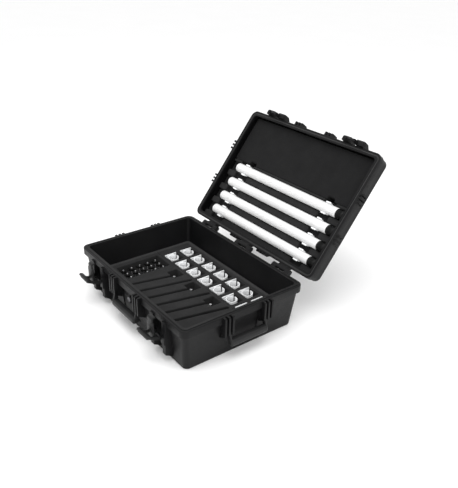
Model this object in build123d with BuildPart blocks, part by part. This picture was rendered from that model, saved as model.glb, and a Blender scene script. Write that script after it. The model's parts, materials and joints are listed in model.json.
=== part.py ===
from build123d import *
import os
from math import cos, radians, sin, tan

# A hard case with four LED light tubes in its lid and a foam tray of accessories in its base.
# Millimetres. X runs along the case, the latches face -Y, the hinges are at +Y and +Z is up.
# The origin is the centre of the underside of the base. The lid stands open.
os.makedirs("parts", exist_ok=True)

# ---- Case, driving dimensions
CASE_LENGTH = 640.0
CASE_WIDTH = 460.0
BASE_HEIGHT = 154.0
LID_HEIGHT = 60.0
LID_ANGLE = 127.75
LID_GAP = 0.3

# ---- Case walls
RIM_HEIGHT = 24.0
RIM_RADIUS = 24.0
RIM_INSET = 18.0
BODY_RADIUS = 18.0
BODY_INSET = 9.0
BOTTOM_INSET = 22.0
BOTTOM_FILLET = 6.0
FLOOR = 6.0
CAVITY_RADIUS = 13.0
CAVITY_TAPER = 10.0
EDGE_FILLET = 2.5
FLANGE_Z = BASE_HEIGHT - RIM_HEIGHT

# ---- Hinges
HINGE_Y = CASE_WIDTH / 2 + 13.0
HINGE_Z = BASE_HEIGHT - 1.5
HINGE_PLACES = (-200.0, 0.0, 200.0)
KNUCKLE_RADIUS = 8.0
LID_KNUCKLE = 42.0
BASE_KNUCKLE = 20.0
KNUCKLE_GAP = 0.5
PIN_RADIUS = 2.5
RUNNING_CLEARANCE = 0.05

# ---- Ribs and handles, the same on the front and on both ends
RIB_CLUSTER = 75.0
RIB_PITCH = 14.0
RIB_WIDTH = 7.0
RIB_OUT = 13.0
RIB_TOP = 150.0
BACK_RIB_OUT = 8.0
BACK_RIB_TOP = 137.0
HANDLE_PIVOT_OUT = 2.0
HANDLE_PIVOT_UP = 93.5
HANDLE_ARM_AT = RIB_CLUSTER - RIB_PITCH / 2
HANDLE_ARM_WIDTH = 6.0
HANDLE_HUB = 5.5
GRIP_SIZE = 24.0
GRIP_OUT = 8.0
GRIP_UP = 60.0
GRIP_FILLET = 9.0
GRIP_END_FILLET = 7.0

# ---- Latches, measured (out, up) from the face of the front rim
LATCH_PLACES = (-192.0, 192.0)
BOSS_AT = 33.0
BOSS_WIDTH = 18.0
LEVER_OUT = 2.0
LEVER_UP = 78.0
LEVER_REST = 20.0
LEVER_LENGTH = 60.0
LEVER_HALF_WIDTH = 22.0
CHEEK_WIDTH = 5.0
LEVER_HUB = 6.0
TEE_HALF_WIDTH = 29.0
LINK_RADIUS = 14.0
LINK_ANGLE = 13.0
LINK_PIN_RADIUS = 2.0
LINK_HALF_WIDTH = 16.0
HOOK_HALF_WIDTH = 11.5
LINK_WIDE_UP = 54.0
HOOK_UNDERSIDE = 65.8
HOOK_THICKNESS = 5.0
KEEPER_OUT = 6.0
KEEPER_UP = 127.0
LUG_GAP = 13.0
LUG_WIDTH = 32.0
TONGUE_WIDTH = 10.0
TONGUE_END_UP = 122.5

# ---- Foam tray in the base
TRAY_TOP = 60.0
TRAY_BOTTOM = 24.0
TRAY_LENGTH = 556.0
TRAY_WIDTH = 376.0
BORDER_WIDTH = 16.0
TRAY_SPLIT_Y = 49.0
CELL_COLUMNS = 7
CELL_FIRST_X = -213.6
CELL_PITCH = 71.0
CELL_ROWS_Y = (151.0, 84.0)
CELL_LENGTH = 54.0
CELL_WIDTH = 50.0
CELL_FILLET = 3.0
CELL_FLOOR = 33.0
POCKET_FLOOR = 30.0
POCKET_PLACES = ((-107.0, 21.0), (0.0, 21.0), (114.0, 21.0))
POCKET_LENGTH = 48.0
POCKET_WIDTH = 41.0
SLOT_COUNT = 6
SLOT_FIRST_X = -135.0
SLOT_PITCH = 53.2
SLOT_START_Y = -160.0
SLOT_END_Y = (5.0, 40.0)
SLOT_WIDTH = 12.0
SLOT_SLANT = 12.0
COMPARTMENT = (-260.0, -171.0, -133.0, 38.0)
BOLT_COLUMNS_X = (-240.0, -212.0, -184.0)
BOLT_FIRST_Y = -114.0
BOLT_PITCH_Y = 33.0
BOLT_ROWS = 5

# ---- Light tubes in the lid
TUBE_RADIUS = 17.0
TUBE_WALL = 1.8
TUBE_ROWS_Y = (-4.0, 57.0, 117.0, 176.0)
TUBE_DEPTH = 21.0
TUBE_START_X = -252.0
DIFFUSER_START_X = -240.0
DIFFUSER_END_X = 268.0
TUBE_END_X = 298.0
WEB_LOW = 2.0
WEB_THICKNESS = 2.0
LED_COUNT = 24
CELL_COUNT = 8
BATTERY_RADIUS = 5.2
BATTERY_LENGTH = 44.0

# ---- Tube clips
CLIP_CLEARANCE = 0.3
CLIP_WALL = 3.0
CLIP_WIDTH = 20.0
CLIP_ARM = 9.0
CLIP_REACH = 24.0
CLIP_FOOT_RADIUS = 14.0
CLIP_FOOT_THICKNESS = 2.5
CLIP_NECK = 9.0
CLIP_PLACES_X = (-205.0, 218.0)

# ---- Spare clamps in the cells: a split ring on an upright plate with two screw holes
CLAMP_WALL = 2.4
CLAMP_HEIGHT = 20.0
CLAMP_SLIT = 5.0
CLAMP_SLIT_TURN = 113.0
CLAMP_PLATE = (2.5, 48.0, 28.0)
CLAMP_PLATE_AT = -24.75
CLAMP_HOLE_AT = 19.0
CLAMP_HOLE_DROP = 5.0
CLAMP_HOLE_RADIUS = 2.0
CLAMP_RING_DROP = 4.0

# ---- Foam in the lid: a pad, and a lower bed with bars between the tubes
PAD_DEPTH = 25.0
PAD_BACK_Y = -33.0
PAD_RADIUS = 8.0
NOTCH_DEPTH = 12.0
NOTCHES_X = ((-213.0, -180.0), (195.0, 226.0))
BED_DEPTH = 45.0
BAR_WIDTH = 23.0
BAR_RADIUS = 4.0
BARS_X = ((-301.0, -258.0), (-189.0, 190.0), (240.0, 301.0))

# ---- Lid shell
LID_ROOF = BASE_HEIGHT + LID_HEIGHT - 4.0
LID_RIM_LAND = 10.0
LID_INSET = 3.0
LID_TOP_FILLET = 12.0
GROOVE_DEPTH = 4.0
GROOVE_WIDTH = 5.0
GASKET_THICKNESS = 2.4

# ---- Small parts
VALVE_RADIUS = 9.0
LATCH_PIN_LENGTH = 72.0
PANEL_HALF = 52.0
PANEL_UP = (34.0, 118.0)
PANEL_DEPTH = 3.0
SCREW_RADIUS = 2.0
SCREW_HEAD_RADIUS = 4.0
SCREW_HEAD_HEIGHT = 3.0
SCREW_SPREAD = 18.0
BRACKET_SIZE = (36.0, 16.0, 10.0)
BOLT_EYE_LENGTH = 22.0
BOLT_COLLAR = 6.0
BOLT_COLLAR_HEIGHT = 8.0
BOLT_SHANK = 2.5
BOLT_COLLAR_UP = 13.0
BOLT_HEIGHT = 25.0

FRONT = Plane(origin=(0, -CASE_WIDTH / 2, 0), x_dir=(1, 0, 0), z_dir=(0, -1, 0))
RIGHT = Plane(origin=(CASE_LENGTH / 2, 0, 0), x_dir=(0, 1, 0), z_dir=(1, 0, 0))
LEFT = Plane(origin=(-CASE_LENGTH / 2, 0, 0), x_dir=(0, -1, 0), z_dir=(-1, 0, 0))
BACK = Plane(origin=(0, CASE_WIDTH / 2, 0), x_dir=(-1, 0, 0), z_dir=(0, 1, 0))
HANDLE_FACES = {"front": FRONT, "right": RIGHT, "left": LEFT}
RIBBED_FACES = [(face, (RIB_OUT, RIB_TOP)) for face in HANDLE_FACES.values()]
RIBBED_FACES.append((BACK, (BACK_RIB_OUT, BACK_RIB_TOP)))

LID_OPEN = Location((0, HINGE_Y, HINGE_Z), (-LID_ANGLE, 0, 0)) * Location((0, -HINGE_Y, -HINGE_Z))
LID_UP = Axis((0, HINGE_Y, HINGE_Z), (0, sin(radians(LID_ANGLE)), cos(radians(LID_ANGLE))))


def section(face, across, out=0.0, up=0.0):
    """A plane square to a side of the case, drawn as (out, up) from a point on that side."""
    corner = face.from_local_coords((across, up, out))
    return Plane(origin=corner, x_dir=face.z_dir, z_dir=face.z_dir.cross(face.y_dir))


def opened(plane):
    """Where a plane drawn in the closed lid is when the lid stands open."""
    return Plane(LID_OPEN * plane.location)


def lid_level(height):
    """A plane of the open lid that is level, at this height, when the lid is closed."""
    return opened(Plane.XY.offset(height))


def cross_section(x, y, z):
    """A plane square to X, drawn as (back, up) from a point."""
    return Plane(origin=(x, y, z), x_dir=(0, 1, 0), z_dir=(1, 0, 0))


def outline(*points):
    """A filled outline through points, drawn where they say."""
    Polygon(*points, align=None)


def save(piece, name):
    """Label a finished piece and write it to its own file."""
    piece.part.label = name
    export_step(piece.part, f"parts/{name}.step")


VALVE_PLANE = Plane(origin=(0, -CASE_WIDTH / 2 + 10, 96), x_dir=(1, 0, 0), z_dir=(0, -1, 0))


# ---- Base shell
def rib_places():
    """Places across a side where its ribs stand."""
    for cluster in (-RIB_CLUSTER, RIB_CLUSTER):
        for step in (-1, 0, 1):
            yield cluster + step * RIB_PITCH


CAVITY_TOP = (CASE_LENGTH - 2 * RIM_INSET, CASE_WIDTH - 2 * RIM_INSET)
RIDGE_LENGTH = CASE_LENGTH - RIM_INSET
RIDGE_WIDTH = CASE_WIDTH - RIM_INSET
RIDGE_RADIUS = RIM_RADIUS - RIM_INSET / 2


def wall_out(up):
    """How far out a side wall of the base is at this height."""
    return (BOTTOM_INSET - BODY_INSET) * up / FLANGE_Z - BOTTOM_INSET


def ring(width):
    """A band that runs round the middle of the rim."""
    RectangleRounded(RIDGE_LENGTH + width, RIDGE_WIDTH + width, RIDGE_RADIUS + width / 2)
    RectangleRounded(RIDGE_LENGTH - width, RIDGE_WIDTH - width, RIDGE_RADIUS - width / 2,
                     mode=Mode.SUBTRACT)


with BuildPart() as base_shell:
    with BuildSketch(Plane.XY):
        RectangleRounded(CASE_LENGTH - 2 * BOTTOM_INSET, CASE_WIDTH - 2 * BOTTOM_INSET, BODY_RADIUS)
    with BuildSketch(Plane.XY.offset(FLANGE_Z)):
        RectangleRounded(CASE_LENGTH - 2 * BODY_INSET, CASE_WIDTH - 2 * BODY_INSET, BODY_RADIUS)
    loft()
    fillet(base_shell.faces().sort_by(Axis.Z)[0].edges(), BOTTOM_FILLET)
    with BuildSketch(Plane.XY.offset(FLANGE_Z)):
        RectangleRounded(CASE_LENGTH, CASE_WIDTH, RIM_RADIUS)
    extrude(amount=RIM_HEIGHT)
    fillet(base_shell.faces().sort_by(Axis.Z)[-1].edges(), EDGE_FILLET)
    for face in HANDLE_FACES.values():
        low, high = PANEL_UP
        with BuildSketch(section(face, 0)):
            outline((wall_out(low) - PANEL_DEPTH, low), (0, low), (0, high),
                    (wall_out(high) - PANEL_DEPTH, high))
        extrude(amount=PANEL_HALF, both=True, mode=Mode.SUBTRACT)
    for face, (out, top) in RIBBED_FACES:
        for across in rib_places():
            with BuildSketch(section(face, across)):
                outline((-16, 76), (-14, 76), (out, 90), (out, top), (out - 3, top + 3), (-16, top + 3))
            extrude(amount=RIB_WIDTH / 2, both=True)
    for latch in LATCH_PLACES:
        for side in (-BOSS_AT, BOSS_AT):
            with BuildSketch(section(FRONT, latch + side)):
                outline((-23, 16), (-19, 16), (4, 28), (4, 62), (9, 67), (9, 90), (5, 96), (5, 140),
                        (-16, 140))
            extrude(amount=BOSS_WIDTH / 2, both=True)
        with BuildSketch(section(FRONT, latch, LEVER_OUT, LEVER_UP)):
            Circle(PIN_RADIUS)
        extrude(amount=LATCH_PIN_LENGTH / 2, both=True, mode=Mode.SUBTRACT)
    with BuildSketch(Plane.XY.offset(FLOOR)):
        RectangleRounded(CAVITY_TOP[0] - 2 * CAVITY_TAPER, CAVITY_TOP[1] - 2 * CAVITY_TAPER, CAVITY_RADIUS)
    with BuildSketch(Plane.XY.offset(BASE_HEIGHT)):
        RectangleRounded(*CAVITY_TOP, CAVITY_RADIUS)
    loft(mode=Mode.SUBTRACT)
    with BuildSketch(Plane.XY.offset(BASE_HEIGHT - 1)):
        ring(2.4)
    extrude(amount=2.2)
    for face in HANDLE_FACES.values():
        for side in (-HANDLE_ARM_AT, HANDLE_ARM_AT):
            with BuildSketch(section(face, side, HANDLE_PIVOT_OUT, HANDLE_PIVOT_UP)):
                Circle(PIN_RADIUS)
            extrude(amount=3 * RIB_WIDTH / 2, both=True, mode=Mode.SUBTRACT)
    for hinge in HINGE_PLACES:
        for side in (-1, 1):
            x = hinge + side * (LID_KNUCKLE / 2 + KNUCKLE_GAP + BASE_KNUCKLE / 2)
            with BuildSketch(cross_section(x, HINGE_Y, HINGE_Z)):
                Circle(KNUCKLE_RADIUS)
                outline((-14, -22), (-14, -1), (-5, 6), (5, -6))
                Circle(PIN_RADIUS, mode=Mode.SUBTRACT)
            extrude(amount=BASE_KNUCKLE / 2, both=True)
    with BuildSketch(VALVE_PLANE):
        Circle(VALVE_RADIUS + 3)
    extrude(amount=-VALVE_RADIUS)
save(base_shell, "base_shell")

with BuildPart() as pressure_valve:
    with BuildSketch(VALVE_PLANE):
        Circle(VALVE_RADIUS)
    extrude(amount=4)
    fillet(pressure_valve.faces().sort_by(Axis.Y)[0].edges(), 1.5)
save(pressure_valve, "pressure_valve")

# ---- Pins of the case
with BuildPart() as hinge_pins:
    for hinge in HINGE_PLACES:
        with BuildSketch(cross_section(hinge, HINGE_Y, HINGE_Z)):
            Circle(PIN_RADIUS)
        extrude(amount=LID_KNUCKLE / 2 + KNUCKLE_GAP + BASE_KNUCKLE, both=True)
save(hinge_pins, "hinge_pins")

with BuildPart() as latch_pins:
    for latch in LATCH_PLACES:
        with BuildSketch(section(FRONT, latch, LEVER_OUT, LEVER_UP)):
            Circle(PIN_RADIUS)
        extrude(amount=LATCH_PIN_LENGTH / 2, both=True)
save(latch_pins, "latch_pins")

with BuildPart() as handle_pins:
    for face in HANDLE_FACES.values():
        for side in (-HANDLE_ARM_AT, HANDLE_ARM_AT):
            with BuildSketch(section(face, side, HANDLE_PIVOT_OUT, HANDLE_PIVOT_UP)):
                Circle(PIN_RADIUS)
            extrude(amount=3 * RIB_WIDTH / 2, both=True)
save(handle_pins, "handle_pins")

# ---- Handles
for name, face in HANDLE_FACES.items():
    with BuildPart() as handle:
        with BuildSketch(section(face, 0)):
            with Locations((GRIP_OUT, GRIP_UP)):
                RectangleRounded(GRIP_SIZE, GRIP_SIZE, GRIP_FILLET)
        extrude(amount=HANDLE_ARM_AT + HANDLE_ARM_WIDTH / 2, both=True)
        ends = handle.faces().sort_by(Axis(face.origin, face.x_dir))
        fillet(ends[0].edges() + ends[-1].edges(), GRIP_END_FILLET)
        for side in (-HANDLE_ARM_AT, HANDLE_ARM_AT):
            with BuildSketch(section(face, side)):
                with Locations((HANDLE_PIVOT_OUT, HANDLE_PIVOT_UP)):
                    Circle(HANDLE_HUB)
                outline((-3.5, 93.5), (7.5, 93.5), (14, 66), (-2, 66))
                with Locations((HANDLE_PIVOT_OUT, HANDLE_PIVOT_UP)):
                    Circle(PIN_RADIUS + RUNNING_CLEARANCE, mode=Mode.SUBTRACT)
            extrude(amount=HANDLE_ARM_WIDTH / 2, both=True)
    save(handle, f"handle_{name}")

# ---- Latches
LEVER_DIRECTION = Vector(0, -cos(radians(LEVER_REST)), sin(radians(LEVER_REST)))
LINK_OUT = LEVER_OUT + LINK_RADIUS * cos(radians(LINK_ANGLE))
LINK_UP = LEVER_UP + LINK_RADIUS * sin(radians(LINK_ANGLE))
LINK_IN_LEVER = (LINK_RADIUS * cos(radians(LINK_ANGLE - LEVER_REST)),
                 LINK_RADIUS * sin(radians(LINK_ANGLE - LEVER_REST)))


def lever_section(x):
    """A plane square to the lever's pin, drawn as (along the lever, above it)."""
    pivot = FRONT.from_local_coords((x, LEVER_UP, LEVER_OUT))
    return Plane(origin=pivot, x_dir=LEVER_DIRECTION, z_dir=(-1, 0, 0))


for side, latch in zip(("left", "right"), LATCH_PLACES):
    with BuildPart() as lever:
        for cheek in (-1, 1):
            with BuildSketch(lever_section(latch + cheek * (LEVER_HALF_WIDTH - CHEEK_WIDTH / 2))):
                Circle(LEVER_HUB)
                outline((0, -6), (22, -6), (42, -4), (42, 4), (0, 5))
                Circle(PIN_RADIUS + RUNNING_CLEARANCE, mode=Mode.SUBTRACT)
                with Locations(LINK_IN_LEVER):
                    Circle(LINK_PIN_RADIUS, mode=Mode.SUBTRACT)
            extrude(amount=CHEEK_WIDTH / 2, both=True)
        with BuildSketch(lever_section(latch)):
            outline((38, -4), (56, -2.5), (60, 1), (60, 4), (38, 4))
        extrude(amount=LEVER_HALF_WIDTH, both=True)
        with BuildSketch(lever_section(latch)):
            with Locations((55, 7.1)):
                RectangleRounded(14, 9, 3.5)
        extrude(amount=TEE_HALF_WIDTH, both=True)
    save(lever, f"latch_lever_{side}")

    with BuildPart() as link_pin:
        with BuildSketch(section(FRONT, latch, LINK_OUT, LINK_UP)):
            Circle(LINK_PIN_RADIUS)
        extrude(amount=LEVER_HALF_WIDTH, both=True)
    save(link_pin, f"latch_link_pin_{side}")

    with BuildPart() as hook:
        with BuildSketch(section(FRONT, latch, LINK_OUT, LINK_UP)):
            Circle(5)
            outline((0, -5), (15, -5), (15, LINK_WIDE_UP), (9.5, LINK_WIDE_UP), (9.5, 5), (0, 5))
            Circle(LINK_PIN_RADIUS + RUNNING_CLEARANCE, mode=Mode.SUBTRACT)
        extrude(amount=LINK_HALF_WIDTH, both=True)
        with BuildSketch(section(FRONT, latch, LINK_OUT, LINK_UP)):
            outline((15, LINK_WIDE_UP - 2), (15, HOOK_UNDERSIDE + 1), (11, HOOK_UNDERSIDE + HOOK_THICKNESS),
                    (1, HOOK_UNDERSIDE + HOOK_THICKNESS), (1, HOOK_UNDERSIDE), (9.5, HOOK_UNDERSIDE),
                    (9.5, LINK_WIDE_UP - 2))
        extrude(amount=HOOK_HALF_WIDTH, both=True)
    save(hook, f"latch_hook_{side}")

# ---- Foam in the base
BORDER_LENGTH = TRAY_LENGTH + 2 * BORDER_WIDTH
with BuildPart() as base_foam:
    with BuildSketch(Plane.XY.offset(FLOOR)):
        RectangleRounded(BORDER_LENGTH - 5, TRAY_WIDTH + 2 * BORDER_WIDTH - 5, CAVITY_RADIUS)
    extrude(amount=TRAY_BOTTOM - FLOOR)
save(base_foam, "base_foam")

with BuildPart() as tray_border:
    with BuildSketch(Plane.XY.offset(TRAY_BOTTOM)):
        RectangleRounded(BORDER_LENGTH - 2, TRAY_WIDTH + 2 * BORDER_WIDTH - 2, CAVITY_RADIUS)
        Rectangle(TRAY_LENGTH, TRAY_WIDTH, mode=Mode.SUBTRACT)
    extrude(amount=TRAY_TOP - TRAY_BOTTOM)
save(tray_border, "tray_border")


def cell_places(row_y):
    """Centres of the cells in one row."""
    return [(CELL_FIRST_X + column * CELL_PITCH, row_y) for column in range(CELL_COLUMNS)]


BACK_WIDTH = TRAY_WIDTH / 2 - TRAY_SPLIT_Y
with BuildPart() as cell_tray:
    with BuildSketch(Plane.XY.offset(TRAY_BOTTOM)):
        with Locations((0, TRAY_SPLIT_Y + BACK_WIDTH / 2)):
            Rectangle(TRAY_LENGTH, BACK_WIDTH)
    extrude(amount=TRAY_TOP - TRAY_BOTTOM)
    with BuildSketch(Plane.XY.offset(TRAY_TOP)):
        for row_y in CELL_ROWS_Y:
            with Locations(*cell_places(row_y)):
                RectangleRounded(CELL_LENGTH, CELL_WIDTH, CELL_FILLET)
    extrude(amount=CELL_FLOOR - TRAY_TOP, mode=Mode.SUBTRACT)
save(cell_tray, "cell_tray")

FRONT_WIDTH = TRAY_WIDTH / 2 + TRAY_SPLIT_Y
COMPARTMENT_LENGTH = COMPARTMENT[1] - COMPARTMENT[0]
COMPARTMENT_WIDTH = COMPARTMENT[3] - COMPARTMENT[2]
COMPARTMENT_X = (COMPARTMENT[0] + COMPARTMENT[1]) / 2
COMPARTMENT_Y = (COMPARTMENT[2] + COMPARTMENT[3]) / 2
with BuildPart() as slot_tray:
    with BuildSketch(Plane.XY.offset(TRAY_BOTTOM)):
        with Locations((0, TRAY_SPLIT_Y - FRONT_WIDTH / 2)):
            Rectangle(TRAY_LENGTH, FRONT_WIDTH)
    extrude(amount=TRAY_TOP - TRAY_BOTTOM)
    with BuildSketch(Plane.XY.offset(TRAY_TOP)):
        with Locations((COMPARTMENT_X, COMPARTMENT_Y)):
            RectangleRounded(COMPARTMENT_LENGTH, COMPARTMENT_WIDTH, CELL_FILLET)
        with Locations(*POCKET_PLACES):
            RectangleRounded(POCKET_LENGTH, POCKET_WIDTH, CELL_FILLET)
        for slot in range(SLOT_COUNT):
            end_y = SLOT_END_Y[slot % 2]
            run = end_y - SLOT_START_Y
            middle_x = SLOT_FIRST_X + slot * SLOT_PITCH + run / 2 * tan(radians(SLOT_SLANT))
            with Locations((middle_x, (SLOT_START_Y + end_y) / 2)):
                SlotOverall(run / cos(radians(SLOT_SLANT)) + SLOT_WIDTH, SLOT_WIDTH, rotation=90 - SLOT_SLANT)
    extrude(amount=POCKET_FLOOR - TRAY_TOP, mode=Mode.SUBTRACT)
save(slot_tray, "slot_tray")

# ---- Spare tube clamps, standing in the cells
TUBE_SEAT = TUBE_RADIUS + CLIP_CLEARANCE
CLAMP_OUTER = TUBE_SEAT + CLAMP_WALL
PLATE_THICKNESS, PLATE_WIDTH, PLATE_HEIGHT = CLAMP_PLATE
PLATE_TOP = CELL_FLOOR + PLATE_HEIGHT
RING_AT = CLAMP_PLATE_AT + PLATE_THICKNESS / 2 + CLAMP_OUTER - 0.5

for name, row_y in zip(("back", "front"), CELL_ROWS_Y):
    with BuildPart() as spare_clamps:
        for x, y in cell_places(row_y):
            with BuildSketch(Plane(origin=(x + RING_AT, y, PLATE_TOP - CLAMP_RING_DROP - CLAMP_HEIGHT))):
                Circle(CLAMP_OUTER)
                Circle(TUBE_SEAT, mode=Mode.SUBTRACT)
                with Locations(Location((0, 0), CLAMP_SLIT_TURN)):
                    with Locations((CLAMP_OUTER, 0)):
                        Rectangle(CLAMP_OUTER, CLAMP_SLIT, mode=Mode.SUBTRACT)
            extrude(amount=CLAMP_HEIGHT)
            with BuildSketch(Plane(origin=(x + CLAMP_PLATE_AT, y, CELL_FLOOR))):
                Rectangle(PLATE_THICKNESS, PLATE_WIDTH)
            extrude(amount=PLATE_HEIGHT)
            with BuildSketch(cross_section(x + CLAMP_PLATE_AT, y, PLATE_TOP - CLAMP_HOLE_DROP)):
                with Locations((-CLAMP_HOLE_AT, 0), (CLAMP_HOLE_AT, 0)):
                    Circle(CLAMP_HOLE_RADIUS)
            extrude(amount=PLATE_THICKNESS, both=True, mode=Mode.SUBTRACT)
    save(spare_clamps, f"spare_clamps_{name}")

# ---- Bracket sets in the pockets, each a block with two screws
BRACKET_LENGTH, BRACKET_WIDTH, BRACKET_HEIGHT = BRACKET_SIZE
for number, (x, y) in enumerate(POCKET_PLACES, 1):
    with BuildPart() as bracket:
        with BuildSketch(Plane.XY.offset(POCKET_FLOOR)):
            with Locations((x, y)):
                RectangleRounded(BRACKET_LENGTH, BRACKET_WIDTH, 5)
        extrude(amount=BRACKET_HEIGHT)
        fillet(bracket.faces().sort_by(Axis.Z)[-1].edges(), 1.5)
        with BuildSketch(Plane.XY.offset(POCKET_FLOOR)):
            with Locations((x - SCREW_SPREAD / 2, y), (x + SCREW_SPREAD / 2, y)):
                Circle(SCREW_RADIUS)
        extrude(amount=BRACKET_HEIGHT, mode=Mode.SUBTRACT)
    save(bracket, f"bracket_set_{number}")

with BuildPart() as bracket_screws:
    for x, y in POCKET_PLACES:
        for side in (-SCREW_SPREAD / 2, SCREW_SPREAD / 2):
            with BuildSketch(Plane.XY.offset(POCKET_FLOOR)):
                with Locations((x + side, y)):
                    Circle(SCREW_RADIUS)
            extrude(amount=BRACKET_HEIGHT)
            with BuildSketch(Plane.XY.offset(POCKET_FLOOR + BRACKET_HEIGHT)):
                with Locations((x + side, y)):
                    Circle(SCREW_HEAD_RADIUS)
            extrude(amount=SCREW_HEAD_HEIGHT)
save(bracket_screws, "bracket_screws")

# ---- Eye bolts in the left compartment
BOLT_PLACES = [(x, BOLT_FIRST_Y + row * BOLT_PITCH_Y) for x in BOLT_COLUMNS_X for row in range(BOLT_ROWS)]
with BuildPart() as bolt_heads:
    with BuildSketch(Plane.XY.offset(POCKET_FLOOR + BOLT_COLLAR_UP)):
        with Locations(*BOLT_PLACES):
            SlotOverall(BOLT_EYE_LENGTH, 2 * BOLT_COLLAR, rotation=60)
            Circle(BOLT_SHANK, mode=Mode.SUBTRACT)
    extrude(amount=BOLT_COLLAR_HEIGHT)
save(bolt_heads, "eye_bolt_heads")

with BuildPart() as bolt_shanks:
    with BuildSketch(Plane.XY.offset(POCKET_FLOOR)):
        with Locations(*BOLT_PLACES):
            Circle(BOLT_SHANK)
    extrude(amount=BOLT_HEIGHT)
save(bolt_shanks, "eye_bolt_shanks")

# ---- Lid shell, drawn level and standing open
LID_FOOT = BASE_HEIGHT + LID_GAP
LID_FLANGE_TOP = BASE_HEIGHT + RIM_HEIGHT
LID_TOP = BASE_HEIGHT + LID_HEIGHT
LID_WALL_INSET = BODY_INSET
with BuildPart() as lid_shell:
    with BuildSketch(lid_level(LID_FOOT)):
        RectangleRounded(CASE_LENGTH - 2 * LID_INSET, CASE_WIDTH - 2 * LID_INSET, RIM_RADIUS - LID_INSET)
    extrude(amount=LID_TOP - LID_FOOT)
    fillet(lid_shell.faces().sort_by(LID_UP)[-1].edges(), LID_TOP_FILLET)
    with BuildSketch(lid_level(LID_FOOT)):
        RectangleRounded(CASE_LENGTH, CASE_WIDTH, RIM_RADIUS)
    extrude(amount=LID_FLANGE_TOP - LID_FOOT)
    fillet(lid_shell.faces().sort_by(LID_UP)[0].edges(), EDGE_FILLET)
    for face, (out, _) in RIBBED_FACES:
        for across in rib_places():
            with BuildSketch(opened(section(face, across))):
                outline((-8, 155), (out - 2, 155), (out, 157), (out, 182), (-LID_INSET, 204), (-8, 204))
            extrude(amount=RIB_WIDTH / 2, both=True)
    for latch in LATCH_PLACES:
        for side in (-1, 1):
            with BuildSketch(opened(section(FRONT, latch + side * (LUG_GAP + LUG_WIDTH / 2)))):
                outline((-4, 155), (0.6, 155), (0.6, 142.5), (14, 142.5), (19, 147), (19, 170),
                        (6, 188), (-4, 188))
            extrude(amount=LUG_WIDTH / 2, both=True)
            with BuildSketch(opened(section(FRONT, latch + side * (LUG_GAP + TONGUE_WIDTH / 2)))):
                outline((0.6, 143), (0.6, 124.5), (2.6, TONGUE_END_UP), (9, TONGUE_END_UP),
                        (11, 124.5), (11, 143))
                with Locations((KEEPER_OUT, KEEPER_UP)):
                    Circle(PIN_RADIUS, mode=Mode.SUBTRACT)
            extrude(amount=TONGUE_WIDTH / 2, both=True)
    with BuildSketch(lid_level(LID_FOOT)):
        RectangleRounded(*CAVITY_TOP, CAVITY_RADIUS)
    extrude(amount=LID_RIM_LAND, mode=Mode.SUBTRACT)
    with BuildSketch(lid_level(LID_FOOT + LID_RIM_LAND)):
        RectangleRounded(CASE_LENGTH - 2 * LID_WALL_INSET, CASE_WIDTH - 2 * LID_WALL_INSET, CAVITY_RADIUS)
    extrude(amount=LID_ROOF - LID_FOOT - LID_RIM_LAND, mode=Mode.SUBTRACT)
    with BuildSketch(lid_level(LID_FOOT)):
        ring(GROOVE_WIDTH)
    extrude(amount=GROOVE_DEPTH, mode=Mode.SUBTRACT)
    for hinge in HINGE_PLACES:
        with BuildSketch(opened(cross_section(hinge, HINGE_Y, HINGE_Z))):
            Circle(KNUCKLE_RADIUS)
            outline((-14, 24), (-14, 2.5), (-5, -6), (5, 6))
            Circle(PIN_RADIUS + RUNNING_CLEARANCE, mode=Mode.SUBTRACT)
        extrude(amount=LID_KNUCKLE / 2, both=True)
save(lid_shell, "lid_shell")

with BuildPart() as lid_gasket:
    with BuildSketch(lid_level(LID_FOOT + GROOVE_DEPTH)):
        ring(GROOVE_WIDTH)
    extrude(amount=-GASKET_THICKNESS)
save(lid_gasket, "lid_gasket")

with BuildPart() as keeper_pins:
    for latch in LATCH_PLACES:
        with BuildSketch(opened(section(FRONT, latch, KEEPER_OUT, KEEPER_UP))):
            Circle(PIN_RADIUS)
        extrude(amount=LUG_GAP + TONGUE_WIDTH, both=True)
save(keeper_pins, "keeper_pins")

# ---- Foam in the lid
PAD_LENGTH = CAVITY_TOP[0] - 1
PAD_FRONT_Y = -CAVITY_TOP[1] / 2 + 0.5
BED_LENGTH = CASE_LENGTH - 2 * LID_WALL_INSET - 1
BED_BACK_Y = CASE_WIDTH / 2 - LID_WALL_INSET - 0.5
with BuildPart() as lid_pad:
    with BuildSketch(lid_level(BASE_HEIGHT + PAD_DEPTH)):
        with Locations((0, (PAD_FRONT_Y + PAD_BACK_Y) / 2)):
            RectangleRounded(PAD_LENGTH, PAD_BACK_Y - PAD_FRONT_Y, PAD_RADIUS)
        for start, end in NOTCHES_X:
            with Locations(((start + end) / 2, PAD_BACK_Y)):
                RectangleRounded(end - start, 2 * NOTCH_DEPTH, BAR_RADIUS, mode=Mode.SUBTRACT)
    extrude(amount=LID_ROOF - BASE_HEIGHT - PAD_DEPTH)
save(lid_pad, "lid_pad")

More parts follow.
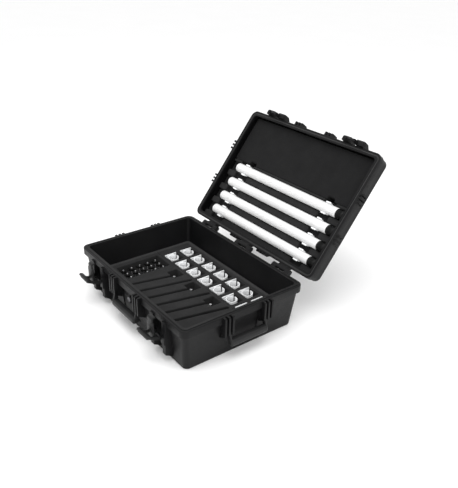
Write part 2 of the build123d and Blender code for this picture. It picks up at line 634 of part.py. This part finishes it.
BED_TOP = BASE_HEIGHT + BED_DEPTH
BAR_ROWS_Y = [(low + high) / 2 for low, high in zip(TUBE_ROWS_Y, TUBE_ROWS_Y[1:])]
BAR_ROWS_Y.append(TUBE_ROWS_Y[-1] + TUBE_RADIUS + BAR_WIDTH / 2 + 2)
FRONT_BAR_WIDTH = TUBE_ROWS_Y[0] - TUBE_RADIUS - PAD_BACK_Y - 2
FRONT_BAR_Y = PAD_BACK_Y + 0.5 + FRONT_BAR_WIDTH / 2
with BuildPart() as lid_bed:
    with BuildSketch(lid_level(BED_TOP)):
        RectangleRounded(BED_LENGTH, 2 * BED_BACK_Y, CAVITY_RADIUS)
        with Locations((0, PAD_BACK_Y + 0.5 - BED_BACK_Y)):
            Rectangle(BED_LENGTH, 2 * BED_BACK_Y, mode=Mode.SUBTRACT)
    extrude(amount=LID_ROOF - BED_TOP)
    with BuildSketch(lid_level(BED_TOP)):
        for start, end in BARS_X:
            with Locations(*[((start + end) / 2, bar_y) for bar_y in BAR_ROWS_Y]):
                RectangleRounded(end - start, BAR_WIDTH, BAR_RADIUS)
            with Locations(((start + end) / 2, FRONT_BAR_Y)):
                RectangleRounded(end - start, FRONT_BAR_WIDTH, BAR_RADIUS)
    extrude(amount=PAD_DEPTH - BED_DEPTH)
save(lid_bed, "lid_bed")


# ---- Clips that hold the tubes
CLIP_OUTER = TUBE_SEAT + CLIP_WALL


def clip_profile():
    """A clip seen along its tube: a half ring with straight arms, and a neck behind it."""
    Circle(CLIP_OUTER)
    with Locations((0, -CLIP_ARM)):
        Rectangle(2 * CLIP_OUTER, 2 * CLIP_ARM)
    Circle(TUBE_SEAT, mode=Mode.SUBTRACT)
    with Locations((0, -CLIP_OUTER)):
        Rectangle(2 * TUBE_SEAT, 2 * CLIP_OUTER, mode=Mode.SUBTRACT)
        Rectangle(2 * CLIP_OUTER + 1, 2 * (CLIP_OUTER - CLIP_ARM), mode=Mode.SUBTRACT)
    with Locations((0, (TUBE_SEAT + 1 + CLIP_REACH) / 2)):
        Rectangle(CLIP_NECK, CLIP_REACH - TUBE_SEAT - 1)


def tube_section(x, row_y):
    """A plane square to a tube in the open lid, drawn as (back, into the lid) from its middle."""
    return opened(cross_section(x, row_y, BASE_HEIGHT + TUBE_DEPTH))


for name, x in zip(("left", "right"), CLIP_PLACES_X):
    with BuildPart() as lid_clips:
        for row_y in TUBE_ROWS_Y:
            with BuildSketch(tube_section(x, row_y)):
                clip_profile()
            extrude(amount=CLIP_WIDTH / 2, both=True)
            with BuildSketch(opened(Plane(origin=(x, row_y, BED_TOP)))):
                Circle(CLIP_FOOT_RADIUS)
            extrude(amount=-CLIP_FOOT_THICKNESS)
    save(lid_clips, f"tube_clips_{name}")

# ---- Light tubes
for number, row_y in enumerate(TUBE_ROWS_Y, 1):
    with BuildPart() as diffuser:
        with BuildSketch(tube_section(DIFFUSER_START_X, row_y)):
            Circle(TUBE_RADIUS)
            Circle(TUBE_RADIUS - TUBE_WALL, mode=Mode.SUBTRACT)
            with Locations((0, WEB_LOW + TUBE_RADIUS)):
                Rectangle(3 * TUBE_RADIUS, 2 * TUBE_RADIUS, mode=Mode.SUBTRACT)
        extrude(amount=DIFFUSER_END_X - DIFFUSER_START_X)
    save(diffuser, f"tube_{number}_diffuser")

    with BuildPart() as spine:
        with BuildSketch(tube_section(DIFFUSER_START_X, row_y)):
            Circle(TUBE_RADIUS)
            Circle(TUBE_RADIUS - TUBE_WALL, mode=Mode.SUBTRACT)
            with Locations((0, WEB_LOW + WEB_THICKNESS / 2)):
                Rectangle(2 * (TUBE_RADIUS - TUBE_WALL), WEB_THICKNESS)
            with Locations((0, WEB_LOW - TUBE_RADIUS)):
                Rectangle(3 * TUBE_RADIUS, 2 * TUBE_RADIUS, mode=Mode.SUBTRACT)
        extrude(amount=DIFFUSER_END_X - DIFFUSER_START_X)
    save(spine, f"tube_{number}_spine")

    with BuildPart() as light_board:
        with BuildSketch(tube_section(DIFFUSER_START_X + 4, row_y)):
            with Locations((0, WEB_LOW - 0.8)):
                Rectangle(16, 1.6)
        extrude(amount=DIFFUSER_END_X - DIFFUSER_START_X - 8)
        for led in range(LED_COUNT):
            led_x = DIFFUSER_START_X + (led + 0.5) * (DIFFUSER_END_X - DIFFUSER_START_X) / LED_COUNT
            with BuildSketch(tube_section(led_x, row_y)):
                with Locations((0, WEB_LOW - 2.2)):
                    Rectangle(5, 1.2)
            extrude(amount=2.5, both=True)
    save(light_board, f"tube_{number}_light_board")

    with BuildPart() as battery:
        for cell in range(CELL_COUNT):
            start_x = DIFFUSER_START_X + 20 + cell * (BATTERY_LENGTH + 2)
            with BuildSketch(tube_section(start_x, row_y)):
                with Locations((0, WEB_LOW + WEB_THICKNESS + BATTERY_RADIUS + 0.3)):
                    Circle(BATTERY_RADIUS)
            extrude(amount=BATTERY_LENGTH)
    save(battery, f"tube_{number}_battery_cells")

    with BuildPart() as end_cap:
        with BuildSketch(tube_section(TUBE_START_X, row_y)):
            Circle(TUBE_RADIUS)
        extrude(amount=DIFFUSER_START_X - TUBE_START_X)
        fillet(end_cap.faces().sort_by(Axis.X)[0].edges(), 4)
    save(end_cap, f"tube_{number}_end_cap")

    with BuildPart() as control_cap:
        with BuildSketch(tube_section(DIFFUSER_END_X, row_y)):
            Circle(TUBE_RADIUS)
        extrude(amount=TUBE_END_X - DIFFUSER_END_X)
        fillet(control_cap.faces().sort_by(Axis.X)[-1].edges(), 2.5)
    save(control_cap, f"tube_{number}_control_cap")
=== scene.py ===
import json
from math import cos, pi, radians, sin

import bmesh
import bpy
from mathutils import Matrix, Vector


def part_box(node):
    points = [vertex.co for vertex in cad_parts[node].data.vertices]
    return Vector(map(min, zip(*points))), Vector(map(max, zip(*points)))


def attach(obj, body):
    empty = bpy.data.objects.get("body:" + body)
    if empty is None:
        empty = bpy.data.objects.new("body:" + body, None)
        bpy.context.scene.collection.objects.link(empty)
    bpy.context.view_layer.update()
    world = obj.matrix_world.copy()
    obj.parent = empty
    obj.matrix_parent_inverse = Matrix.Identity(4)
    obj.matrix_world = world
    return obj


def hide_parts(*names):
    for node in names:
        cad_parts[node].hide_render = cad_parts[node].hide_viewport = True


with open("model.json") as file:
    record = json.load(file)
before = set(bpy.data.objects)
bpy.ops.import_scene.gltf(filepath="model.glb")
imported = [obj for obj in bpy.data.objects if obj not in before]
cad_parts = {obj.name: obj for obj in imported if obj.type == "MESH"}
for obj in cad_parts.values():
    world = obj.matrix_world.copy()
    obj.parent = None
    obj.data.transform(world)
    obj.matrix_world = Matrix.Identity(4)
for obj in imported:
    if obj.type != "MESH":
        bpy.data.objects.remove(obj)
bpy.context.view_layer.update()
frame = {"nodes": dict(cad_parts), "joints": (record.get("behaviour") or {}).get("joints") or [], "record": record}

# An open hard case with four light tubes clipped into its lid and a foam tray in its base.
# Metres, in the row's frame: +X along the case, -Y towards the latches, +Z up.
MM = 0.001
TUBE_COUNT = 4

# How far each kind of moulded part has its edges rounded, and from what angle, in degrees
SHELL_EDGE = 0.9 * MM
HANDLE_EDGE = 2.2 * MM
LATCH_EDGE = 0.9 * MM
SMALL_PART_EDGE = 0.6 * MM
BEVEL_ANGLE = 32
BEVEL_SEGMENTS = 3

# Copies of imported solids: how near two corners are one, and how flat two faces are one, in degrees
WELD_DISTANCE = 0.001 * MM
FLAT_ANGLE = 0.5

# Foam: the voxel that each piece is cut with, how full it is, how far its edges are softened, and how
# much its faces swell
FOAM_VOXELS = {
    "base_foam": 4 * MM,
    "tray_border": 2 * MM,
    "cell_tray": 2 * MM,
    "slot_tray": 2.2 * MM,
    "lid_pad": 3 * MM,
    "lid_bed": 3 * MM,
}
FOAM_LOOKS = {"tray_border": "border_foam"}
FOAM_SOFTENING = 2
FOAM_SWELL = 0.8 * MM
FOAM_SWELL_WIDTH = 50 * MM

# Turned pieces: how many sides they have, and the angle that their edges stay sharp from
TURNED_SIDES = 48
TURNED_SHARP_ANGLE = 40

# White caps of the tubes: a rounded corner, an end with a raised middle, and a groove by the diffuser
CAP_CORNER = 4 * MM
CAP_CORNER_STEPS = 6
CAP_FACE_RIM = 8 * MM
CAP_FACE_SLOPE = 1 * MM
CAP_GROOVE_DEPTH = 0.6 * MM
CAP_GROOVE_FROM = 3 * MM
CAP_GROOVE_TO = 2 * MM
CAP_GROOVE_SLOPE = 0.2 * MM

# Black caps of the tubes: grip rings, a chamfer in two steps and a recessed end
GRIP_START = 8 * MM
GRIP_END = 9 * MM
GRIP_PITCH = 2.4 * MM
GRIP_DEPTH = 0.7 * MM
GRIP_WIDTH = 1.4 * MM
GRIP_SLOPE = 0.3 * MM
CONTROL_CHAMFER = 2.5 * MM
CONTROL_CHAMFER_STEP = 0.8 * MM
CONTROL_FACE_DEPTH = 1.2 * MM
CONTROL_FACE_RIM = 6 * MM

# Rolled lips on the clips' arms: their places beside the tube's wall and out from its axis
LIP_HALF_LENGTH = 10 * MM
LIP_RADIUS = 2.1 * MM
LIP_BESIDE_TUBE = 3.3 * MM
LIP_OUT_OF_LID = 7.2 * MM
LIP_SIDES = 20

# What the frame says
NODES = frame["nodes"]
JOINTS = {joint["name"]: joint for joint in frame["joints"]}
BODY_OF = {node: body for body, nodes in frame["record"]["behaviour"]["bodies"].items() for node in nodes}
SLOT_OF = {part["node"]: part["material_slot"] for part in frame["record"]["subparts"]}

# The lid's own directions, as it stands open
LID_ANGLE = radians(JOINTS["lid_hinge"]["range_deg"][1])
LID_TURN = Matrix.Rotation(-LID_ANGLE, 3, "X")
BACK_IN_LID = LID_TURN @ Vector((0, 1, 0))
INTO_LID = LID_TURN @ Vector((0, 0, 1))


# ---- Materials
MIX_COLOR_A, MIX_COLOR_B, MIX_COLOR_RESULT = 6, 7, 2


def node_material(name, color, roughness, metallic=0.0):
    """A Principled material, its node tree and its shader."""
    material = bpy.data.materials.new(name)
    material.use_nodes = True
    tree = material.node_tree
    shader = tree.nodes["Principled BSDF"]
    shader.inputs["Base Color"].default_value = (*color, 1)
    shader.inputs["Roughness"].default_value = roughness
    shader.inputs["Metallic"].default_value = metallic
    material.diffuse_color = (*color, 1)
    return material, tree, shader


def texture_at(tree, kind, stretch=None):
    """A texture node in the object's own coordinates, stretched along its axes if asked."""
    place = tree.nodes.new("ShaderNodeTexCoord")
    texture = tree.nodes.new(kind)
    source = place.outputs["Object"]
    if stretch:
        mapping = tree.nodes.new("ShaderNodeMapping")
        mapping.inputs["Scale"].default_value = stretch
        tree.links.new(source, mapping.inputs["Vector"])
        source = mapping.outputs["Vector"]
    tree.links.new(source, texture.inputs["Vector"])
    return texture


def noise_at(tree, scale, detail, stretch=None):
    """Noise with features about 1/scale metres wide."""
    noise = texture_at(tree, "ShaderNodeTexNoise", stretch)
    noise.inputs["Scale"].default_value = scale
    noise.inputs["Detail"].default_value = detail
    return noise.outputs["Fac"]


def cells_at(tree, scale):
    """Small rounded cells about 1/scale metres wide."""
    cells = texture_at(tree, "ShaderNodeTexVoronoi")
    cells.inputs["Scale"].default_value = scale
    return cells.outputs["Distance"]


def ramp_from(tree, source, low, high, colors):
    """A colour that runs between two others as a value goes from low to high."""
    ramp = tree.nodes.new("ShaderNodeValToRGB")
    for element, position, color in zip(ramp.color_ramp.elements, (low, high), colors):
        element.position = position
        element.color = (*color, 1)
    tree.links.new(source, ramp.inputs["Fac"])
    return ramp.outputs["Color"]


def tint(tree, shader, source, low, high, colors):
    """Such a colour as the shader's base colour."""
    tree.links.new(ramp_from(tree, source, low, high, colors), shader.inputs["Base Color"])


def bump_from(tree, shader, source, strength, distance, before=None):
    """Bump from a height, added to any bump before it."""
    bump = tree.nodes.new("ShaderNodeBump")
    bump.inputs["Strength"].default_value = strength
    bump.inputs["Distance"].default_value = distance
    tree.links.new(source, bump.inputs["Height"])
    if before:
        tree.links.new(before.outputs["Normal"], bump.inputs["Normal"])
    tree.links.new(bump.outputs["Normal"], shader.inputs["Normal"])
    return bump


def grained_plastic(name, color, lighter, roughness, grain_width, grain_depth):
    """Moulded plastic with a fine spark-eroded grain and slightly uneven colour and gloss."""
    material, tree, shader = node_material(name, color, roughness)
    shader.inputs["Specular IOR Level"].default_value = 0.14
    tint(tree, shader, noise_at(tree, 9, 4), 0.35, 0.7, (color, lighter))
    uneven = tree.nodes.new("ShaderNodeMapRange")
    uneven.inputs["To Min"].default_value = roughness - 0.07
    uneven.inputs["To Max"].default_value = roughness + 0.1
    tree.links.new(noise_at(tree, 60, 3), uneven.inputs["Value"])
    tree.links.new(uneven.outputs["Result"], shader.inputs["Roughness"])
    swell = bump_from(tree, shader, noise_at(tree, 14, 2), strength=0.25, distance=1.2 * MM)
    grain = cells_at(tree, 1 / grain_width)
    bump_from(tree, shader, grain, strength=0.35, distance=grain_depth, before=swell)
    return material


def foam_material(name, color, lighter):
    """Closed-cell foam: matt, with fine cells, specks and faint mottling."""
    material, tree, shader = node_material(name, color, 0.92)
    shader.inputs["Specular IOR Level"].default_value = 0.12
    shader.inputs["Sheen Weight"].default_value = 0.04
    shader.inputs["Sheen Roughness"].default_value = 0.6
    mottled = ramp_from(tree, noise_at(tree, 24, 5), 0.3, 0.75, (color, lighter))
    specks = ramp_from(tree, noise_at(tree, 900, 1), 0.35, 0.65, ((0.45, 0.45, 0.45), (1, 1, 1)))
    mix = tree.nodes.new("ShaderNodeMix")
    mix.data_type = "RGBA"
    mix.blend_type = "MULTIPLY"
    mix.inputs["Factor"].default_value = 0.35
    tree.links.new(mottled, mix.inputs[MIX_COLOR_A])
    tree.links.new(specks, mix.inputs[MIX_COLOR_B])
    tree.links.new(mix.outputs[MIX_COLOR_RESULT], shader.inputs["Base Color"])
    soft = bump_from(tree, shader, noise_at(tree, 35, 3), strength=0.3, distance=1.5 * MM)
    bump_from(tree, shader, cells_at(tree, 650), strength=0.5, distance=0.6 * MM, before=soft)
    return material


def white_plastic(name, color, roughness, painted_glow, ribs=0.0):
    """White plastic that scatters light inside and glows faintly as painted light, with fine ribs along X if
    asked.
    """
    material, tree, shader = node_material(name, color, roughness)
    shader.inputs["Subsurface Weight"].default_value = 0.35
    shader.inputs["Subsurface Radius"].default_value = (4 * MM, 4 * MM, 4 * MM)
    shader.inputs["Subsurface Scale"].default_value = 1.0
    # Painted glow: a faint white emission makes the plastic glow though it is no lamp
    shader.inputs["Emission Color"].default_value = (1, 1, 1, 1)
    shader.inputs["Emission Strength"].default_value = painted_glow
    darker = tuple(channel * 0.93 for channel in color)
    tint(tree, shader, noise_at(tree, 40, 3, (0.1, 1, 1)), 0.3, 0.7, (darker, color))
    soft = bump_from(tree, shader, noise_at(tree, 150, 2), strength=0.12, distance=0.4 * MM)
    if ribs:
        wave = texture_at(tree, "ShaderNodeTexWave")
        wave.bands_direction = "X"
        wave.inputs["Scale"].default_value = ribs
        bump_from(tree, shader, wave.outputs["Fac"], strength=0.2, distance=0.3 * MM, before=soft)
    return material


def brushed_metal(name, color, roughness, along):
    """Turned or brushed metal with fine lines along one axis."""
    material, tree, shader = node_material(name, color, roughness, 1.0)
    stretch = tuple(0.04 if axis == along else 1.0 for axis in "XYZ")
    lines = noise_at(tree, 1800, 2, stretch)
    darker = tuple(channel * 0.8 for channel in color)
    tint(tree, shader, lines, 0.3, 0.7, (darker, color))
    bump_from(tree, shader, lines, strength=0.25, distance=0.2 * MM)
    return material


def rubber_material(name):
    """Soft black rubber with a fine uneven skin."""
    material, tree, shader = node_material(name, (0.012, 0.012, 0.012), 0.7)
    tint(tree, shader, noise_at(tree, 80, 3), 0.3, 0.7, ((0.009, 0.009, 0.009), (0.02, 0.02, 0.02)))
    bump_from(tree, shader, noise_at(tree, 500, 2), strength=0.2, distance=0.3 * MM)
    return material


def board_material(name):
    """A white circuit board with faint copper tracks under its mask."""
    material, tree, shader = node_material(name, (0.75, 0.74, 0.68), 0.4)
    tracks = texture_at(tree, "ShaderNodeTexBrick")
    tracks.inputs["Scale"].default_value = 60
    tracks.inputs["Color1"].default_value = (0.76, 0.75, 0.7, 1)
    tracks.inputs["Color2"].default_value = (0.72, 0.71, 0.64, 1)
    tracks.inputs["Mortar"].default_value = (0.55, 0.5, 0.36, 1)
    tree.links.new(tracks.outputs["Color"], shader.inputs["Base Color"])
    bump_from(tree, shader, tracks.outputs["Fac"], strength=0.2, distance=0.2 * MM)
    return material


def sleeve_material(name):
    """Shrink-wrapped battery sleeve."""
    material, tree, shader = node_material(name, (0.05, 0.16, 0.38), 0.35)
    tint(tree, shader, noise_at(tree, 120, 3), 0.3, 0.7, ((0.04, 0.13, 0.33), (0.06, 0.19, 0.43)))
    bump_from(tree, shader, noise_at(tree, 300, 2, (0.2, 1, 1)), strength=0.3, distance=0.3 * MM)
    return material


# How each look is made, with what its function takes after the name
LOOKS = {
    "case_plastic": (grained_plastic, (0.0035, 0.0035, 0.0038), (0.006, 0.006, 0.0063), 0.4,
                     1.1 * MM, 0.3 * MM),
    "fittings_plastic": (grained_plastic, (0.012, 0.012, 0.0123), (0.018, 0.018, 0.0184), 0.34,
                         0.8 * MM, 0.2 * MM),
    "steel": (brushed_metal, (0.9, 0.9, 0.91), 0.5, "X"),
    "black_steel": (brushed_metal, (0.03, 0.03, 0.032), 0.4, "X"),
    "valve_metal": (brushed_metal, (0.2, 0.2, 0.21), 0.35, "Y"),
    "gasket_rubber": (rubber_material,),
    "dark_foam": (foam_material, (0.006, 0.006, 0.0063), (0.009, 0.009, 0.0093)),
    "tray_foam": (foam_material, (0.015, 0.015, 0.0153), (0.022, 0.022, 0.0223)),
    # The last number of clip_plastic, diffuser and white_cap is their painted glow, an emission strength
    "clip_plastic": (white_plastic, (0.84, 0.85, 0.86), 0.22, 0.06),
    "border_foam": (foam_material, (0.03, 0.03, 0.0305), (0.042, 0.042, 0.0425)),
    "black_parts": (grained_plastic, (0.005, 0.005, 0.005), (0.008, 0.008, 0.008), 0.3,
                    0.8 * MM, 0.1 * MM),
    "diffuser": (white_plastic, (0.72, 0.72, 0.72), 0.4, 0.03, 400),
    "white_cap": (white_plastic, (0.7, 0.7, 0.7), 0.4, 0.02),
    "black_cap": (grained_plastic, (0.005, 0.005, 0.005), (0.008, 0.008, 0.008), 0.36,
                  0.9 * MM, 0.2 * MM),
    "aluminium": (brushed_metal, (0.6, 0.61, 0.62), 0.3, "X"),
    "light_board": (board_material,),
    "battery": (sleeve_material,),
}
MATERIALS = {name: make(name, *details) for name, (make, *details) in LOOKS.items()}


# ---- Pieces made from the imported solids
def dress(piece, node, look=None):
    """Give a piece its node's slot, body and material, or another look in the same slot."""
    slot = SLOT_OF[node]
    piece.data.materials.clear()
    piece.data.materials.append(MATERIALS[look or slot])
    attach(piece, BODY_OF[node])
    return piece


def piece_from(work, name):
    """A new object in the scene, from a finished bmesh."""
    mesh = bpy.data.meshes.new(name)
    work.to_mesh(mesh)
    work.free()
    piece = bpy.data.objects.new(name, mesh)
    bpy.context.scene.collection.objects.link(piece)
    return piece


def copy_of(node, name):
    """A clean copy of a node's mesh: welded, with its flat faces whole."""
    work = bmesh.new()
    work.from_mesh(NODES[node].data)
    bmesh.ops.remove_doubles(work, verts=work.verts, dist=WELD_DISTANCE)
    bmesh.ops.dissolve_limit(work, angle_limit=radians(FLAT_ANGLE), verts=work.verts, edges=work.edges)
    return piece_from(work, name)


def settle(piece):
    """Apply a piece's modifiers to its mesh."""
    graph = bpy.context.evaluated_depsgraph_get()
    finished = bpy.data.meshes.new_from_object(piece.evaluated_get(graph))
    piece.modifiers.clear()
    piece.data = finished


def moulded(node, edge):
    """A moulded copy of a node: its sharp edges are rounded off."""
    piece = copy_of(node, node + "_moulded")
    bevel = piece.modifiers.new("rounded edges", "BEVEL")
    bevel.width = edge
    bevel.segments = BEVEL_SEGMENTS
    bevel.limit_method = "ANGLE"
    bevel.angle_limit = radians(BEVEL_ANGLE)
    bevel.harden_normals = False
    bevel.use_clamp_overlap = True
    settle(piece)
    smooth_by_angle(piece, BEVEL_ANGLE)
    dress(piece, node)
    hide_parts(node)


def smooth_by_angle(piece, angle):
    """Smooth shading, with edges sharper than an angle kept sharp."""
    work = bmesh.new()
    work.from_mesh(piece.data)
    for face in work.faces:
        face.smooth = True
    for edge in work.edges:
        edge.smooth = len(edge.link_faces) == 2 and edge.calc_face_angle(0) < radians(angle)
    work.to_mesh(piece.data)
    work.free()


def foam_piece(node, voxel, look):
    """A cut foam copy of a node: its edges are softened and its faces swell a little."""
    piece = copy_of(node, node + "_cut")
    remesh = piece.modifiers.new("cells", "REMESH")
    remesh.mode = "VOXEL"
    remesh.voxel_size = voxel * 1
    remesh.use_smooth_shade = True
    soften = piece.modifiers.new("soft edges", "SMOOTH")
    soften.iterations = FOAM_SOFTENING
    soften.factor = 0.5
    texture = bpy.data.textures.new(node + "_swell", "CLOUDS")
    texture.noise_scale = FOAM_SWELL_WIDTH
    swell = piece.modifiers.new("swell", "DISPLACE")
    swell.texture = texture
    swell.texture_coords = "LOCAL"
    swell.strength = FOAM_SWELL
    swell.mid_level = 0.5
    settle(piece)
    dress(piece, node, look)
    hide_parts(node)


# ---- Turned pieces: the caps of the tubes and the lips of the clips
def turned(name, node, axis_at, profile, around=TURNED_SIDES):
    """A closed piece turned about a line along X, from (x, radius) points that start and end at radius 0."""
    middle_y, middle_z = axis_at
    work = bmesh.new()
    rings = []
    for x, radius in profile:
        if radius == 0:
            rings.append([work.verts.new((x, middle_y, middle_z))])
            continue
        angles = [2 * pi * step / around for step in range(around)]
        rings.append([work.verts.new((x, middle_y + radius * cos(a), middle_z + radius * sin(a)))
                      for a in angles])
    for ring, following in zip(rings, rings[1:]):
        for step in range(around):
            beside = (step + 1) % around
            corners = [ring[step % len(ring)], ring[beside % len(ring)],
                       following[beside % len(following)], following[step % len(following)]]
            work.faces.new(list(dict.fromkeys(corners)))
    bmesh.ops.recalc_face_normals(work, faces=work.faces)
    piece = piece_from(work, name)
    smooth_by_angle(piece, TURNED_SHARP_ANGLE)
    return dress(piece, node)


def tube_axis(node):
    """Where the axis of a tube's round part crosses the YZ plane, and its radius."""
    low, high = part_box(node)
    return ((low.y + high.y) / 2, (low.z + high.z) / 2), (high.y - low.y) / 2


def end_cap(number):
    """The white cap: a rounded end, then a shallow groove beside the diffuser."""
    node = f"tube_{number}_end_cap"
    axis_at, radius = tube_axis(node)
    low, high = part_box(node)
    face_radius = radius - CAP_FACE_RIM
    groove_from = high.x - CAP_GROOVE_FROM
    groove_to = high.x - CAP_GROOVE_TO
    groove_radius = radius - CAP_GROOVE_DEPTH
    profile = [(low.x, 0), (low.x, face_radius - CAP_FACE_SLOPE), (low.x + CAP_GROOVE_DEPTH, face_radius)]
    for step in range(CAP_CORNER_STEPS + 1):
        turn = pi / 2 * step / CAP_CORNER_STEPS
        profile.append((low.x + CAP_CORNER * (1 - cos(turn)), radius - CAP_CORNER * (1 - sin(turn))))
    profile += [(groove_from - CAP_GROOVE_SLOPE, radius), (groove_from, groove_radius),
                (groove_to, groove_radius), (groove_to + CAP_GROOVE_SLOPE, radius),
                (high.x, radius), (high.x, 0)]
    piece = turned(node + "_turned", node, axis_at, profile)
    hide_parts(node)


def control_cap(number):
    """The black cap: a smooth band, a run of grip rings and a stepped end."""
    node = f"tube_{number}_control_cap"
    axis_at, radius = tube_axis(node)
    low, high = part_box(node)
    profile = [(low.x, 0), (low.x, radius)]
    ring_at = low.x + GRIP_START
    while ring_at < high.x - GRIP_END:
        profile += [(ring_at, radius), (ring_at + GRIP_SLOPE, radius - GRIP_DEPTH),
                    (ring_at + GRIP_WIDTH - GRIP_SLOPE, radius - GRIP_DEPTH), (ring_at + GRIP_WIDTH, radius)]
        ring_at += GRIP_PITCH
    face_x = high.x - CONTROL_FACE_DEPTH
    face_radius = radius - CONTROL_FACE_RIM
    profile += [(high.x - CONTROL_CHAMFER, radius), (high.x - CONTROL_CHAMFER_STEP, radius - GRIP_DEPTH),
                (high.x, radius - CONTROL_CHAMFER), (high.x, face_radius),
                (face_x, face_radius - CONTROL_FACE_DEPTH / 2), (face_x, 0)]
    piece = turned(node + "_turned", node, axis_at, profile)
    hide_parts(node)


def clip_lips(side):
    """The rolled lips on the tips of the clips' arms, two to each tube."""
    low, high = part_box(f"tube_clips_{side}")
    start = (low.x + high.x) / 2 - LIP_HALF_LENGTH
    end = start + 2 * LIP_HALF_LENGTH
    round_off = 0.5 * LIP_RADIUS
    tip = 0.6 * LIP_RADIUS
    profile = [(start, 0), (start, tip), (start + round_off, LIP_RADIUS), (end - round_off, LIP_RADIUS),
               (end, tip), (end, 0)]
    for number in range(1, TUBE_COUNT + 1):
        (axis_y, axis_z), radius = tube_axis(f"tube_{number}_end_cap")
        for way, way_name in ((-1, "near"), (1, "far")):
            beside = way * (radius + LIP_BESIDE_TUBE) * BACK_IN_LID
            place = Vector((0, axis_y, axis_z)) + beside - LIP_OUT_OF_LID * INTO_LID
            lip = f"clip_lip_{side}_{number}_{way_name}"
            turned(lip, f"tube_clips_{side}", (place.y, place.z), profile, LIP_SIDES)


# ---- Build: the shells, the parts that move, the foam, the small parts and the tubes' ends
for shell in ("base_shell", "lid_shell"):
    moulded(shell, SHELL_EDGE)

for node in NODES:
    if node.startswith(("handle_front", "handle_left", "handle_right")):
        moulded(node, HANDLE_EDGE)
    elif node.startswith(("latch_lever", "latch_hook")):
        moulded(node, LATCH_EDGE)

for node, voxel in FOAM_VOXELS.items():
    foam_piece(node, voxel, FOAM_LOOKS.get(node))

for node in NODES:
    if node.startswith(("spare_clamps", "tube_clips", "bracket_set", "eye_bolt_heads", "pressure_valve")):
        moulded(node, SMALL_PART_EDGE)

for tube in range(1, TUBE_COUNT + 1):
    end_cap(tube)
    control_cap(tube)
for side in ("left", "right"):
    clip_lips(side)

# What stays as it was packed gets its material
for name, node in NODES.items():
    if not node.hide_render:
        node.data.materials.clear()
        node.data.materials.append(MATERIALS[SLOT_OF[name]])

# ---- Floor, light and camera
FLOOR_SIZE = 30.0
WORLD_STRENGTH = 1.05
TOP_SOFTBOX = {"place": (0.4, -0.6, 2.8), "target": (0, 0, 0.1), "size": (2.6, 2.0), "power": 45}
KEY_SOFTBOX = {"place": (2.4, -0.9, 1.5), "target": (0, 0, 0.15), "size": (1.4, 1.4), "power": 16}
SENSOR_WIDTH = 36
CAMERA_PLACE = (1.4551, -0.9716, 1.1366)
CAMERA_AZIMUTH = 51.77
CAMERA_ELEVATION = 27.37
CAMERA_ROLL = 1.64
CAMERA_LENS = 44.29


def softbox(name, place, target, size, power):
    """A rectangular area light, turned towards a target."""
    data = bpy.data.lights.new(name, "AREA")
    data.shape = "RECTANGLE"
    data.size, data.size_y = size
    data.energy = power
    lamp = bpy.data.objects.new(name, data)
    bpy.context.scene.collection.objects.link(lamp)
    lamp.location = place
    aim = (Vector(target) - Vector(place)).to_track_quat("-Z", "Y")
    lamp.rotation_euler = aim.to_euler()


def studio():
    """A pale floor, white light from all round, and two softboxes."""
    bpy.ops.mesh.primitive_plane_add(size=FLOOR_SIZE)
    floor = bpy.context.object
    floor.name = "floor"
    material, tree, shader = node_material("floor_paper", (0.93, 0.93, 0.93), 0.8)
    tint(tree, shader, noise_at(tree, 2, 2), 0.3, 0.7, ((0.925, 0.925, 0.925), (0.935, 0.935, 0.935)))
    floor.data.materials.append(material)

    world = bpy.data.worlds.new("studio")
    world.use_nodes = True
    world.node_tree.nodes["Background"].inputs["Color"].default_value = (1, 1, 1, 1)
    world.node_tree.nodes["Background"].inputs["Strength"].default_value = WORLD_STRENGTH
    bpy.context.scene.world = world

    softbox("top_softbox", **TOP_SOFTBOX)
    softbox("key_softbox", **KEY_SOFTBOX)


def camera():
    """The camera looks down on the right front corner of the case, tilted a little."""
    place = Vector(CAMERA_PLACE)
    azimuth, elevation, roll = radians(CAMERA_AZIMUTH), radians(CAMERA_ELEVATION), radians(CAMERA_ROLL)
    back = Vector((sin(azimuth) * cos(elevation), -cos(azimuth) * cos(elevation), sin(elevation)))
    right = Vector((cos(azimuth), sin(azimuth), 0))
    up = back.cross(right)
    tilted_right = cos(roll) * right + sin(roll) * up
    tilted_up = -sin(roll) * right + cos(roll) * up
    data = bpy.data.cameras.new("camera")
    data.sensor_width = SENSOR_WIDTH
    data.sensor_fit = "AUTO"
    data.lens = CAMERA_LENS
    eye = bpy.data.objects.new("camera", data)
    bpy.context.scene.collection.objects.link(eye)
    turn = Matrix((tilted_right, tilted_up, back)).transposed().to_4x4()
    eye.matrix_world = Matrix.Translation(place) @ turn
    bpy.context.scene.camera = eye


bpy.context.scene.view_settings.view_transform = "Standard"
studio()
camera()
